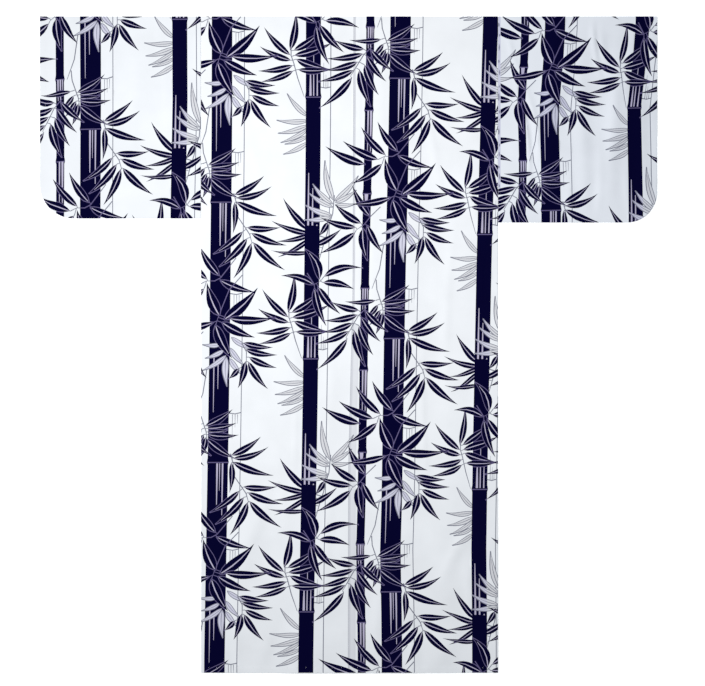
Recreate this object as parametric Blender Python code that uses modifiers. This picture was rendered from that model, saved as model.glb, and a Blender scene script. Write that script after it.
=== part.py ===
"""Cotton yukata robe, laid flat with its back up.

Seven sewn pieces, each a wall of cloth: two body panels, two overlap panels, the collar and two sleeves.
Metres, +Z up. The robe rests at z = 0, its shoulder fold is at +Y and its hem at -Y.
The wearer's left is at -X, and its left front lies over the right one, so it is the lowest layer.
"""

import math
from collections import namedtuple

import bmesh
import bpy
from mathutils import Vector

# The cut of the robe
ROBE_LENGTH = 1.450
BACK_WIDTH = 0.3282            # centre back seam to side seam
FRONT_WIDTH = 0.2450           # side seam to the overlap panel's seam
OVERLAP_HEM_WIDTH = 0.150
OVERLAP_TOP_WIDTH = 0.140      # where the collar begins
OVERLAP_TIP_WIDTH = 0.003
OVERLAP_TIP_DROP = 0.230       # shoulder to the overlap panel's tip
COLLAR_START = 0.780           # hem to the collar's end
COLLAR_WIDTH = 0.055
COLLAR_BOW = 0.006             # how far the overlap's slanted edge bows outwards
ARMHOLE_DEPTH = 0.380
WRIST_OPENING = 0.270

# Walls and what lies between them
CLOTH_WALL = 0.0010
COLLAR_WALL = 0.0016
SEAM_GAP = 0.0003
LAYER_GAP = 0.00035
FOLD_STEPS = 4                 # faces round a pressed fold
OPENING_STEP = 0.006           # length over which a closed edge becomes an open one
FOLD_FADE = 0.036              # length over which the soft folds die out at an edge

# Where the layers below lift a sheet, measured across from the centre back seam
PLATEAU_WIDTH = 0.112
FRONT_SLOPE_END = 0.150
BACK_SLOPE_END = 0.180

# Pitch of the faces
BODY_COLUMN_PITCH = 0.034
BODY_ROW_PITCH = 0.075
SLEEVE_COLUMN_PITCH = 0.024
SLEEVE_ROW_PITCH = 0.036
OVERLAP_COLUMNS = 3
COLLAR_PITCH = 0.070
COLLAR_COLUMNS = 2

SHOULDER = ROBE_LENGTH / 2
HEM = -ROBE_LENGTH / 2
FRONT_EDGE = BACK_WIDTH - FRONT_WIDTH
FRONT_SEAM = FRONT_EDGE + SEAM_GAP / 2
COLLAR_START_Y = HEM + COLLAR_START
TIP_Y = SHOULDER - OVERLAP_TIP_DROP
ARMHOLE_Y = SHOULDER - ARMHOLE_DEPTH

# Heights of the middle of each wall
FLOOR_SHEET = CLOTH_WALL / 2
SECOND_SHEET = FLOOR_SHEET + CLOTH_WALL + LAYER_GAP
THIRD_SHEET = SECOND_SHEET + CLOTH_WALL + LAYER_GAP
SHEET_OVER_COLLAR = COLLAR_WALL + LAYER_GAP + CLOTH_WALL / 2
SHEET_OVER_CROSSED_COLLARS = 2 * (COLLAR_WALL + LAYER_GAP) + CLOTH_WALL / 2
FOLD_RADIUS = (SECOND_SHEET - FLOOR_SHEET) / 2
FOLD_INSET = FOLD_RADIUS + CLOTH_WALL / 2

# Heights of the right front and of the back above the layers under them, from the hem up
Level = namedtuple("Level", "y right_front back")
LEVELS = (
    Level(HEM, SECOND_SHEET, THIRD_SHEET),
    Level(-0.060, SECOND_SHEET, THIRD_SHEET),
    Level(0.020, SHEET_OVER_COLLAR, SHEET_OVER_CROSSED_COLLARS),
    Level(0.435, SHEET_OVER_COLLAR, SHEET_OVER_CROSSED_COLLARS),
    Level(0.515, FLOOR_SHEET, SHEET_OVER_COLLAR),
    Level(SHOULDER, FLOOR_SHEET, SHEET_OVER_COLLAR),
)

# Where the centre back seam runs: it leans to the wearer's right on its way up
SeamPlace = namedtuple("SeamPlace", "y x")
CENTRE_SEAM = (
    SeamPlace(HEM, -0.0020),
    SeamPlace(-0.270, -0.0013),
    SeamPlace(-0.060, 0.0040),
    SeamPlace(0.120, 0.0085),
    SeamPlace(SHOULDER, 0.0105),
)

Cut = namedtuple("Cut", "name side width depth corner_radius")
SLEEVES = (
    Cut("left_sleeve", -1, 0.3555, 0.4465, 0.075),
    Cut("right_sleeve", 1, 0.3512, 0.4555, 0.067),
)

# Soft folds in the wall that faces up: across from the side seam on a sleeve and from the middle of the back
# on a body panel, down from the shoulder, and lean as dx / dy
Fold = namedtuple("Fold", "piece across down length width height lean")
FOLDS = (
    Fold("left_body_panel", 0.150, 0.560, 0.330, 0.046, 0.0016, -0.05),
    Fold("left_body_panel", 0.235, 1.130, 0.280, 0.040, 0.0020, 0.07),
    Fold("left_body_panel", 0.085, 1.290, 0.200, 0.044, 0.0014, 0.04),
    Fold("right_body_panel", 0.130, 0.800, 0.300, 0.044, 0.0018, 0.06),
    Fold("right_body_panel", 0.260, 0.430, 0.220, 0.038, 0.0022, -0.08),
    Fold("right_body_panel", 0.210, 1.230, 0.260, 0.042, 0.0018, -0.04),
    Fold("left_sleeve", 0.120, 0.400, 0.030, 0.200, 0.0020, 0.0),
    Fold("left_sleeve", 0.315, 0.190, 0.210, 0.022, 0.0016, -0.06),
    Fold("left_sleeve", 0.045, 0.230, 0.170, 0.026, 0.0012, 0.05),
    Fold("right_sleeve", 0.042, 0.230, 0.190, 0.020, 0.0030, 0.07),
    Fold("right_sleeve", 0.112, 0.170, 0.150, 0.022, 0.0034, -0.10),
    Fold("right_sleeve", 0.186, 0.270, 0.170, 0.026, 0.0024, 0.04),
    Fold("right_sleeve", 0.256, 0.200, 0.190, 0.024, 0.0038, -0.08),
    Fold("right_sleeve", 0.318, 0.260, 0.150, 0.018, 0.0022, 0.05),
)

Finish = namedtuple("Finish", "colour roughness metallic")
COTTON = Finish((0.86, 0.90, 0.93), 0.85, 0.0)
SHADED_COTTON = Finish((0.78, 0.83, 0.88), 0.85, 0.0)


def ramp(value, start, end):
    """Zero at start, one at end, and straight between them."""
    return min(max((value - start) / (end - start), 0.0), 1.0)


def stations(marks, pitch):
    """Every mark, with even steps of about the pitch between them."""
    places = [marks[0]]
    for start, end in zip(marks, marks[1:]):
        steps = max(1, round(abs(end - start) / pitch))
        places += [start + (end - start) * step / steps for step in range(1, steps + 1)]
    return places


def value_at(rows, y, column):
    """The value in a table's named column at y, straight between its rows."""
    value = getattr(rows[0], column)
    for lower, upper in zip(rows, rows[1:]):
        value += (getattr(upper, column) - getattr(lower, column)) * ramp(y, lower.y, upper.y)
    return value


def front_height(side, x, y):
    """Middle of a front's wall: the left front is flat, the right one climbs over it."""
    if side < 0:
        return FLOOR_SHEET
    share = 1.0 - ramp(x, PLATEAU_WIDTH, FRONT_SLOPE_END)
    return FLOOR_SHEET + share * (value_at(LEVELS, y, "right_front") - FLOOR_SHEET)


def back_height(x, y):
    """Middle of the back's wall, which bridges the layers under its centre."""
    share = 1.0 - ramp(abs(x), PLATEAU_WIDTH, BACK_SLOPE_END)
    return SECOND_SHEET + share * (value_at(LEVELS, y, "back") - SECOND_SHEET)


def fold_relief(piece, across, down, edge):
    """Lift of the wall that faces up from the piece's soft folds; edge is how far the nearest edge is."""
    lift = 0.0
    for fold in FOLDS:
        if fold.piece != piece:
            continue
        along = down - fold.down
        beside = across - fold.across - fold.lean * along
        lift += fold.height * math.exp(-((beside / fold.width) ** 2) - (along / fold.length) ** 2)
    return lift * ramp(edge, 0.0, FOLD_FADE)


def add_surface(mesh, rows):
    """Lays a grid of faces through rows of points of equal length."""
    grid = bmesh.ops.create_grid(mesh, x_segments=len(rows[0]) - 1, y_segments=len(rows) - 1, size=1.0)
    points = [point for row in rows for point in row]
    for vertex, point in zip(grid["verts"], points):
        vertex.co = point


def fold_rows(lower, upper, turn_side):
    """Rows round the pressed fold that joins two chains of points, one above the other.

    The fold bulges to the right of the chain's direction where turn_side is 1, and to its left where -1.
    """
    rows = []
    last = len(lower) - 1
    for index, (low, high) in enumerate(zip(lower, upper)):
        along = lower[min(index + 1, last)] - lower[max(index - 1, 0)]
        outward = turn_side * Vector((along.y, -along.x, 0.0)).normalized()
        middle = (low + high) / 2
        row = []
        for step in range(FOLD_STEPS + 1):
            turn = math.pi * step / FOLD_STEPS
            row.append(middle + (low - middle) * math.cos(turn) + outward * FOLD_RADIUS * math.sin(turn))
        rows.append(row)
    return rows


def sewn_piece(name, surfaces, wall, finish, collection):
    """Welds the surfaces of one sewn piece and gives them the thickness of its cloth."""
    mesh = bmesh.new()
    for rows in surfaces:
        add_surface(mesh, rows)
    bmesh.ops.remove_doubles(mesh, verts=mesh.verts, dist=0.00001)
    bmesh.ops.recalc_face_normals(mesh, faces=mesh.faces)
    data = bpy.data.meshes.new(name)
    mesh.to_mesh(data)
    mesh.free()
    data.shade_smooth()
    data.materials.append(cloth_material(name, finish))
    piece = bpy.data.objects.new(name, data)
    thickness = piece.modifiers.new("cloth wall", "SOLIDIFY")
    thickness.thickness = wall
    thickness.offset = 0.0
    thickness.use_even_offset = True
    collection.objects.link(piece)


def cloth_material(name, finish):
    material = bpy.data.materials.new(name + " cotton")
    material.use_nodes = True
    shader = material.node_tree.nodes["Principled BSDF"]
    shader.inputs["Base Color"].default_value = (*finish.colour, 1.0)
    shader.inputs["Roughness"].default_value = finish.roughness
    shader.inputs["Metallic"].default_value = finish.metallic
    return material


def body_panel(side, name, collection):
    """One length of cloth from the back hem over the shoulder to the front hem."""
    y_marks = [level.y for level in LEVELS[:-1]]
    y_marks += [ARMHOLE_Y, ARMHOLE_Y + OPENING_STEP, SHOULDER - FOLD_INSET]
    ys = stations(sorted(y_marks), BODY_ROW_PITCH)
    x_marks = [FRONT_SEAM, PLATEAU_WIDTH, FRONT_SLOPE_END, BACK_SLOPE_END, BACK_WIDTH]
    front_xs = stations(x_marks, BODY_COLUMN_PITCH)
    inner_shares = stations([0.0, 1.0], BODY_COLUMN_PITCH / FRONT_SEAM)[:-1]
    front, back = [], []
    for y in ys:
        side_edge = BACK_WIDTH - FOLD_INSET * (1.0 - ramp(y, ARMHOLE_Y, ARMHOLE_Y + OPENING_STEP))
        front_row = [side * x for x in front_xs[:-1] + [side_edge]]
        front.append([Vector((x, y, front_height(side, x, y))) for x in front_row])
        seam = side * value_at(CENTRE_SEAM, y, "x") + SEAM_GAP / 2
        back_row = []
        for x in [seam + (FRONT_SEAM - seam) * share for share in inner_shares] + front_xs[:-1] + [side_edge]:
            edge = min(x - seam, side_edge - x, y - HEM, ys[-1] - y)
            lift = fold_relief(name, x, SHOULDER - y, edge)
            back_row.append(Vector((side * x, y, back_height(x, y) + lift)))
        back.append(back_row)
    shoulder_fold = fold_rows(front[-1], back[-1][-len(front_xs):], -side)
    closed = slice(0, ys.index(ARMHOLE_Y) + 1)
    side_seam = fold_rows([row[-1] for row in front[closed]], [row[-1] for row in back[closed]], side)
    sewn_piece(name, [front, back, shoulder_fold, side_seam], CLOTH_WALL, COTTON, collection)


def round_corner(across, down, cut):
    """Moves a place in the square at the sleeve's outer lower corner onto the corner's round."""
    radius = cut.corner_radius - FOLD_INSET
    out = (across - (cut.width - cut.corner_radius)) / radius
    low = (down - (cut.depth - cut.corner_radius)) / radius
    if out <= 0.0 or low <= 0.0:
        return across, down
    round_out = out * math.sqrt(1.0 - low * low / 2)
    round_low = low * math.sqrt(1.0 - out * out / 2)
    return across + (round_out - out) * radius, down + (round_low - low) * radius


def sleeve(cut, finish, collection):
    """A tube pressed flat, open at the armhole and at the wrist, and closed below both."""
    bottom = cut.depth - FOLD_INSET
    marks = [FOLD_INSET, bottom]
    for opening in (ARMHOLE_DEPTH, WRIST_OPENING):
        marks += [opening - OPENING_STEP, opening]
    downs = stations(sorted(marks), SLEEVE_ROW_PITCH)
    shares = stations([0.0, 1.0], SLEEVE_COLUMN_PITCH / cut.width)
    under, upper = [], []
    for down in downs:
        inner = FOLD_INSET * ramp(down, ARMHOLE_DEPTH - OPENING_STEP, ARMHOLE_DEPTH)
        outer = cut.width - FOLD_INSET * ramp(down, WRIST_OPENING - OPENING_STEP, WRIST_OPENING)
        under_row, upper_row = [], []
        for share in shares:
            flat_across = inner + (outer - inner) * share
            across, drop = round_corner(flat_across, down, cut)
            edge = min(flat_across - inner, outer - flat_across, down - FOLD_INSET, bottom - down)
            lift = fold_relief(cut.name, across, drop, edge)
            plan = (cut.side * (BACK_WIDTH + SEAM_GAP + across), SHOULDER - drop)
            under_row.append(Vector((*plan, FLOOR_SHEET)))
            upper_row.append(Vector((*plan, SECOND_SHEET + lift)))
        under.append(under_row)
        upper.append(upper_row)
    top_fold = fold_rows(under[0], upper[0], -cut.side)
    below_armhole = slice(downs.index(ARMHOLE_DEPTH), -1)
    below_wrist = slice(-2, downs.index(WRIST_OPENING) - len(downs) - 1, -1)

    def closed_chain(sheet):
        inner_edge = [row[0] for row in sheet[below_armhole]]
        outer_edge = [row[-1] for row in sheet[below_wrist]]
        return inner_edge + sheet[-1] + outer_edge

    lower_seam = fold_rows(closed_chain(under), closed_chain(upper), cut.side)
    sewn_piece(cut.name, [under, upper, top_fold, lower_seam], CLOTH_WALL, finish, collection)


def overlap_width(y):
    """How far the overlap panel reaches past the front's seam at y, up to its tip."""
    if y <= COLLAR_START_Y:
        return OVERLAP_HEM_WIDTH + (OVERLAP_TOP_WIDTH - OVERLAP_HEM_WIDTH) * ramp(y, HEM, COLLAR_START_Y)
    if y > TIP_Y:
        return 0.0
    share = ramp(y, COLLAR_START_Y, TIP_Y)
    straight = OVERLAP_TOP_WIDTH + (OVERLAP_TIP_WIDTH - OVERLAP_TOP_WIDTH) * share
    return straight + COLLAR_BOW * math.sin(math.pi * share)


def overlap_panel(side, name, collection):
    """The narrow panel sewn to a front's edge, slanted above where the collar begins."""
    marks = [level.y for level in LEVELS if level.y < TIP_Y] + [COLLAR_START_Y, TIP_Y]
    rows = []
    for y in stations(sorted(marks), BODY_ROW_PITCH):
        seam = FRONT_SEAM - SEAM_GAP
        edge = FRONT_SEAM - overlap_width(y)
        places = [seam + (edge - seam) * column / OVERLAP_COLUMNS for column in range(OVERLAP_COLUMNS + 1)]
        rows.append([Vector((side * x, y, front_height(side, side * x, y))) for x in places])
    sewn_piece(name, [rows], CLOTH_WALL, COTTON, collection)


def collar(name, collection):
    """One band from the left overlap up, round the back of the neck under the back, and down."""
    neck_y = SHOULDER - FOLD_INSET
    leg_marks = [COLLAR_START_Y, LEVELS[3].y, TIP_Y, LEVELS[4].y, neck_y - 1.6 * COLLAR_WIDTH]
    leg_ys = stations(leg_marks, COLLAR_PITCH) + [neck_y]
    leg = [Vector((FRONT_SEAM - SEAM_GAP - overlap_width(y), y, 0.0)) for y in leg_ys]
    left = [Vector((-point.x, point.y, 0.0)) for point in leg]
    path = left + [Vector((0.0, neck_y, 0.0))] + leg[::-1]
    rows = []
    for index, point in enumerate(path):
        before = point - path[index - 1] if index else path[1] - point
        after = path[index + 1] - point if index + 1 < len(path) else before
        across = (right_of(before) + right_of(after)).normalized()
        reach = COLLAR_WIDTH / across.dot(right_of(after))
        side = -1 if index <= len(left) else 1
        row = []
        for column in range(COLLAR_COLUMNS + 1):
            place = point + across * reach * column / COLLAR_COLUMNS
            underside = front_height(side, 0.0, place.y) - CLOTH_WALL / 2
            row.append(Vector((place.x, place.y, underside + COLLAR_WALL / 2)))
        rows.append(row)
    sewn_piece(name, [rows], COLLAR_WALL, COTTON, collection)


def right_of(direction):
    return Vector((direction.y, -direction.x, 0.0)).normalized()


def main():
    for item in list(bpy.data.objects):
        bpy.data.objects.remove(item, do_unlink=True)
    robe = bpy.data.collections.new("cotton yukata robe")
    bpy.context.scene.collection.children.link(robe)
    body_panel(-1, "left_body_panel", robe)
    body_panel(1, "right_body_panel", robe)
    overlap_panel(-1, "left_overlap", robe)
    overlap_panel(1, "right_overlap", robe)
    collar("collar", robe)
    for cut, finish in zip(SLEEVES, (COTTON, SHADED_COTTON)):
        sleeve(cut, finish, robe)


main()
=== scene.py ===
import math

import bmesh
import bpy
import numpy as np
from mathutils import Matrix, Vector
from mathutils.geometry import delaunay_2d_cdt


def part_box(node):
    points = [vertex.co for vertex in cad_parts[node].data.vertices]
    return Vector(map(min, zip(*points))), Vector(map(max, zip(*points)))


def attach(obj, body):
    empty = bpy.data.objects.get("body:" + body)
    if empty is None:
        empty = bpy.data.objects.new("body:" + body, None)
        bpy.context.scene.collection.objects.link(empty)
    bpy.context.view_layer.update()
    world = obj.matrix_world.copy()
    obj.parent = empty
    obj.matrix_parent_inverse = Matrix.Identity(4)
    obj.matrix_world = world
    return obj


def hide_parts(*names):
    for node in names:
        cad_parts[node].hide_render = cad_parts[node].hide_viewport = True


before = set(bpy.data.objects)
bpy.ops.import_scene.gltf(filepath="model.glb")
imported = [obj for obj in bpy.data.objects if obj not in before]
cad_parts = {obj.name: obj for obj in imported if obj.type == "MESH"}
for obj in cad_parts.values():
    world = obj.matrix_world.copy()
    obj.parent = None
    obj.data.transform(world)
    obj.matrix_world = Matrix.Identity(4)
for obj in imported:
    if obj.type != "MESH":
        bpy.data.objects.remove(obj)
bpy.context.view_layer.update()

mm = 0.001  # the robe's lengths are in millimetres until a mesh is made


def boxOf(node):
    low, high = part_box(node)
    return [value / mm for value in low], [value / mm for value in high]


# The cut, read from the frame where its boxes show it
leftOverlap, leftSleeve, rightSleeve = map(boxOf, ("left_overlap", "left_sleeve", "right_sleeve"))
robe = {
    "hem": leftOverlap[0][1],
    "shoulder": -leftOverlap[0][1],
    "halfBack": 328.2,
    "seamGap": 0.3,
    "armholeDepth": 380,
    "wristOpening": 270,
    "cloth": 0.6,  # thickness of a layer
    "reach": 0.675,  # how far a turned edge bulges out
    "foldSteps": 4,
    "edgeBand": 3,  # narrow cells along an edge
    "hemDepth": 12,
    "hemStep": 1.5,  # half the run of the step where a hem ends
    "hemLift": 0.22,
    "allowance": 14,  # the centre seam's allowance, pressed to the wearer's right
    "allowanceLift": 0.45,
    "seamHeight": 1.175,  # where the back's and the front's edges meet
    "seamInset": 0.65,  # from a turned seam to where its turn starts
    "sleeveTrim": 0.1,  # how much narrower a sleeve is than its box
    "sharpAngle": 50,  # degrees, over which an edge isn't shaded smooth
    "leastLength": 1e-12,  # stands for a normal that has no length
}
robe["frontSeam"] = robe["seamGap"] - leftOverlap[0][0]
robe["inset"] = robe["reach"] + robe["cloth"] / 2
robe["armholeY"] = robe["shoulder"] - robe["armholeDepth"]
robe["topY"] = robe["shoulder"] - robe["inset"]
sides = ((-1, "left"), (1, "right"))


class Wire:
    # a socket that adds its own Math nodes when it stands in an expression
    def __init__(self, tree, socket=None):
        self.tree = tree
        self.socket = socket

    def node(self, kind, settings=None, inputs=None, out=0):
        made = self.tree.nodes.new("ShaderNode" + kind)
        for name, value in (settings or {}).items():
            if name == "stops":
                self.setStops(made.color_ramp, value)
            else:
                setattr(made, name, value)
        for key, value in (inputs or {}).items():
            if isinstance(value, Wire):
                self.tree.links.new(value.socket, made.inputs[key])
            else:
                made.inputs[key].default_value = value
        return Wire(self.tree, made.outputs[out])

    def setStops(self, ramp, stops):
        ramp.interpolation = "CONSTANT"
        while len(ramp.elements) < len(stops):
            ramp.elements.new(1.0)
        for element, (place, colour) in zip(ramp.elements, stops):
            element.position = place
            element.color = colour

    def maths(self, operation, first, second):
        return self.node("Math", {"operation": operation}, {0: first, 1: second})

    def __add__(self, other):
        return self.maths("ADD", self, other)

    def __radd__(self, other):
        return self.maths("ADD", other, self)

    def __sub__(self, other):
        return self.maths("SUBTRACT", self, other)

    def __rsub__(self, other):
        return self.maths("SUBTRACT", other, self)

    def __mul__(self, other):
        return self.maths("MULTIPLY", self, other)

    def __rmul__(self, other):
        return self.maths("MULTIPLY", other, self)


def linear(colour):
    # from the colour as it is seen, 0 to 255, to what the shader takes
    shares = [value / 255 for value in colour]
    return tuple(s / 12.92 if s <= 0.04045 else ((s + 0.055) / 1.055) ** 2.4 for s in shares) + (1.0,)


cotton = {
    "inks": {
        "cloth": (221, 223.5, 228),
        "under": (206, 208, 214),  # where the layers under the cloth show through
        # painted shade in the centre back seam's ditch
        "ditch": (190, 192, 199),
        "navy": (3, 2, 38),
        "rib": (172, 167, 190),
        "edge": (92, 85, 122),
        "mist": (193, 193, 209),
        "shade": (132, 132, 150),
        "veil": (201, 202, 207),
        "line": (118, 120, 133),
    },
    "reversePaler": 0.35, "mottle": 0.15,
    "slubShade": 0.035, "slubWidth": 1.8, "slubLength": 26, "slubSeeds": (3.0, 17.0),
    "fibreShow": 0.004, "fibreInk": (150, 150, 178),
    "roughness": 0.86, "roughSpread": 0.16, "gloss": 0.01,
    "bumpHeight": 0.12, "bumpStrength": 0.8, "weaveBump": 0.7, "fibreBump": 0.3,
    # scale, detail and roughness of each noise
    "slubNoise": (1.0, 2.0, 0.6),
    "mottleNoise": (0.013, 3.0, 0.5),
    "fibreNoise": (0.32, 2.0, 0.7),
}
tones = list(cotton["inks"])


def newMaterial(name, inputs):
    # a material with its shader, which takes these constants
    material = bpy.data.materials.new(name)
    material.use_nodes = True
    shader = material.node_tree.nodes["Principled BSDF"]
    for key, value in inputs.items():
        shader.inputs[key].default_value = value
    return material, shader


def cottonMaterial(name, paler=0.0, shade=(1.0, 1.0, 1.0)):
    material, shader = newMaterial(name, {"Specular IOR Level": cotton["gloss"]})
    tree = material.node_tree
    start = Wire(tree)
    plain = linear(cotton["inks"]["cloth"])
    stops = []
    for index, tone in enumerate(tones):
        ink = linear(cotton["inks"][tone])
        # shade darkens every ink of the material: painted shade, used for the sleeves
        seen = [(i + (c - i) * paler) * s for i, c, s in zip(ink, plain, shade)] + [1.0]
        stops.append((max(0.0, (index - 0.5) / len(tones)), seen))
    toneHere = start.node("Attribute", {"attribute_name": "tone"}, out=2)
    inked = start.node("ValToRGB", {"stops": stops}, {0: toneHere * (1 / len(tones))})
    place = start.node("Attribute", {"attribute_name": "cloth"}, out=1)

    def noise(vector, kind):
        scale, detail, roughness = cotton[kind]
        return start.node("TexNoise", None, {
            "Vector": vector, "Scale": scale, "Detail": detail, "Roughness": roughness,
        })

    def slubs(across, along, seed):
        stretched = start.node("VectorMath", {"operation": "MULTIPLY"}, {0: place, 1: (across, along, 1.0)})
        moved = start.node("VectorMath", {"operation": "ADD"}, {0: stretched, 1: (seed,) * 3})
        return noise(moved, "slubNoise")

    fine, coarse = 1 / cotton["slubWidth"], 1 / cotton["slubLength"]
    warpSeed, weftSeed = cotton["slubSeeds"]
    weave = slubs(fine, coarse, warpSeed) * 0.5 + slubs(coarse, fine, weftSeed) * 0.5
    mottle = noise(place, "mottleNoise")
    fibre = noise(place, "fibreNoise")
    value = 1.0 + (mottle - 0.5) * cotton["mottle"] + (weave - 0.5) * cotton["slubShade"]
    dyed = start.node("Mix", {"data_type": "RGBA"}, {
        0: fibre * cotton["fibreShow"], 6: inked, 7: linear(cotton["fibreInk"]),
    }, out=2)
    shaded = start.node("VectorMath", {"operation": "SCALE"}, {0: dyed, 3: value})
    bump = start.node("Bump", None, {
        "Strength": cotton["bumpStrength"], "Distance": cotton["bumpHeight"] * mm,
        "Height": weave * cotton["weaveBump"] + fibre * cotton["fibreBump"],
    })
    rough = cotton["roughness"] + (weave - 0.5) * cotton["roughSpread"]
    for wire, key in ((shaded, "Base Color"), (rough, "Roughness"), (bump, "Normal")):
        tree.links.new(wire.socket, shader.inputs[key])
    return material


# One repeat of the bamboo print. Places are from the middle of the big star:
# to the right, and down the cloth.
bamboo = {
    "across": (384.6, -302.8),  # the next column of repeats: to the right, and up the cloth
    "down": 579.1,
    "repeats": (1, 7),  # how many are laid each way, across and down
    # left edge, right edge
    "poles": {"narrow": (-75.2, -57.5), "wide": (-22.3, 23.0), "medium": (185.7, 218.8)},
    "nodes": {"narrow": (-2, 208, 391), "wide": (320,), "medium": (88,)},
    # middle, width, from, to
    "streaks": {
        "narrow": ((-68, 8, 0, 24), (-70.5, 3.2, 210, 256), (-65.3, 3.4, 210, 262), (-60.6, 2.2, 210, 240),
                   (-68, 3.4, 393, 484), (-61.5, 4.4, 393, 484)),
        "wide": ((-11.5, 2.4, 86, 208), (-2.2, 2.4, 93, 156), (-1, 4, 323, 417), (4.6, 2, 323, 385),
                 (11, 3.6, 323, 442)),
        "medium": ((196, 5, 86, 30), (203, 2.4, 86, -22), (211, 2.8, 86, 28), (193.1, 4, 373, 257),
                   (202.5, 3.6, 373, 291), (212.4, 3, 374, 371)),
    },
    # line beside a pole, the pole's edge, which way its short ticks hang, nodes
    "stalks": ((50, 23, 1, (-54, 212)), (239, 218.8, -1, (69,))),
    "poleRun": (40, 45),  # how far a pole runs on past its sheet, and its points' pitch
    "stalkLine": 1.8,
    "ring": (2, 3, 2.2),  # its rise at the pole and at the line, and its width
    "ticks": ((0.3, 56), (0.52, 30), (0.72, 22)),  # share of the way to the line, length
    "tickWidths": (1.4, 0.6),
    "nodeHeight": 2.2,
    "nodeFlare": 1.6,
    "nodeReach": (9, 7),  # how far a node's flare runs above and below it
    "streakWidths": (1, 0.9, 0.4),  # shares of a streak's width at its start, bend and end
    "streakBend": 0.3,
}

# Pale fans: the fill, then base across and down, tip across and down, width. The pale fill
# takes the veil's ink, or the mist's where it covers mist.
paleSprays = {
    "behindPole": ("pale", (
        (190, 131, 147, 84, 10), (190, 141, 125, 140, 10), (190, 152, 128, 168, 11),
        (190, 160, 134, 188, 9), (190, 175, 143, 192, 8), (190, 190, 140, 214, 10),
    )),
    "besidePole": ("pale", (
        (247, 316, 229, 233, 13), (250, 318, 296, 265, 11), (252, 322, 292, 296, 10),
        (252, 328, 291, 325, 9), (245, 325, 205, 284, 10), (245, 332, 197, 303, 10),
        (243, 350, 189, 329, 11), (243, 354, 188, 360, 10),
    )),
    "overPole": ("mist", (
        (2, 57, -34, 57, 8.5), (9, 70, -28, 86, 9), (14, 82, -34, 113, 9.5),
        (16, 86, 18, 147, 13), (24, 89, 50, 122, 11), (24, 65, 54, 101, 10.5),
        (27, 41, 71, 66, 10),
    )),
}

# Dark sprays: a stem from root to tip, and its leaves: base, tip, width, and how far a leaf bends
# where it isn't the common bend
sprays = {
    "long": (((-27, 112), (-35, 166), (-51, 210)), ()),
    "pole": (
        ((-36, 28), (-58, 50), (-70, 66), (-88, 80)),
        ((-60, 48, -98, -19, 14), (-78, 65, -135, 22, 15), (-89, 74, -164, 53, 14),
         (-90, 85, -166, 132, 15), (-74, 76, -62, 147, 17), (-64, 70, -27, 132, 14)),
    ),
    "upper": (
        ((35, -135), (1, -91), (-12, -84), (-30, -84)),
        ((-44, -77, -120, -118, 16), (-73, -66, -156, -105, 17), (-28, -87, -83, -151, 14),
         (-3, -97, -47, -163, 15), (-35, -67, -100, -23, 15), (1, -85, 79, -59, 15)),
    ),
    "side": (
        ((153, -18), (153, -3), (159, 14), (168, 48), (182, 88)),
        ((151, -4, 93, -66, 13), (153, 8, 84, -23, 13), (157, 19, 80, 31, 13), (158, 31, 86, 55, 12),
         (151, -15, 163, -102, 15), (159, -14, 219, -57, 14), (160, -3, 243, -32, 15),
         (164, 5, 238, 27, 15), (168, 28, 248, 25, 12)),
    ),
    "fan": (
        ((49, 53), (60, 73), (60, 102)),
        ((53, 53, 119, 63, 13), (58, 68, 129, 80, 13), (66, 85, 128, 109, 13),
         (64, 95, 109, 157, 14), (58, 95, 42, 155, 14), (43, 111, 22, 133, 11)),
    ),
    "across": (
        ((-42, 190), (-40, 212), (-32, 236), (-27, 250), (-24, 270)),
        ((-42, 236, -110, 238, 10), (-29, 239, 32, 201, 13), (-25, 244, 41, 232, 12),
         (-24, 252, 20, 248, 11), (-22, 258, 46, 259, 13), (-25, 268, 39, 312, 15),
         (-37, 246, -66, 278, 10), (-32, 258, -56, 292, 11), (-27, 264, -41, 312, 12)),
    ),
    "left": (
        ((-62, 252), (-80, 270), (-92, 292), (-106, 318)),
        ((-79, 258, -139, 239, 13), (-81, 268, -155, 280, 13), (-92, 286, -158, 306, 13),
         (-100, 304, -171, 331, 13), (-103, 321, -168, 389, 14), (-64, 260, -15, 305, 13),
         (-73, 274, -29, 329, 13), (-78, 292, -45, 359, 14), (-88, 303, -63, 383, 15)),
    ),
    "hanging": (
        ((28, 301), (34, 323), (38, 354), (51, 373), (64, 392), (70, 413)),
        ((30, 305, 95, 263, 14), (34, 312, 112, 286, 13, 0.09), (33, 320, 125, 352, 15),
         (30, 322, 27, 391, 12), (58, 377, 133, 377, 13), (68, 390, 147, 417, 14),
         (72, 410, 144, 472, 15), (68, 412, 29, 490, 15), (59, 401, -2, 463, 15),
         (49, 386, -15, 435, 13)),
    ),
    "poleEdge": (
        ((249, 306), (246, 347), (240, 366), (235, 390), (228, 413), (217, 455)),
        ((200, 386, 137, 312, 14), (203, 392, 111, 362, 11.5), (203, 391, 123, 408, 10.5),
         (201, 399, 126, 443, 10.5), (201, 432, 112, 428, 9), (236, 366, 216, 397, 11),
         (208, 418, 265, 380, 12)),
    ),
    "lowStar": (
        ((192, 478), (208, 503), (222, 496)),
        ((220, 492, 187, 426, 17, -0.13), (206, 503, 134, 484, 14, -0.09),
         (229, 486, 312, 467, 15, -0.12), (227, 499, 295, 514, 15, -0.07),
         (217, 509, 266, 569, 15), (209, 513, 236, 596, 15)),
    ),
    "star": (
        ((49, -97), (20, -64), (0, -13), (-6, 4)),
        ((-1, -8, -29, -80, 21), (10, 1, 84, -70, 22), (21, -1, 123, -3, 17),
         (6, 8, 79, 41, 18), (-9, 14, 29, 88, 20), (-15, 8, -101, 22, 14)),
    ),
}
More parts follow.
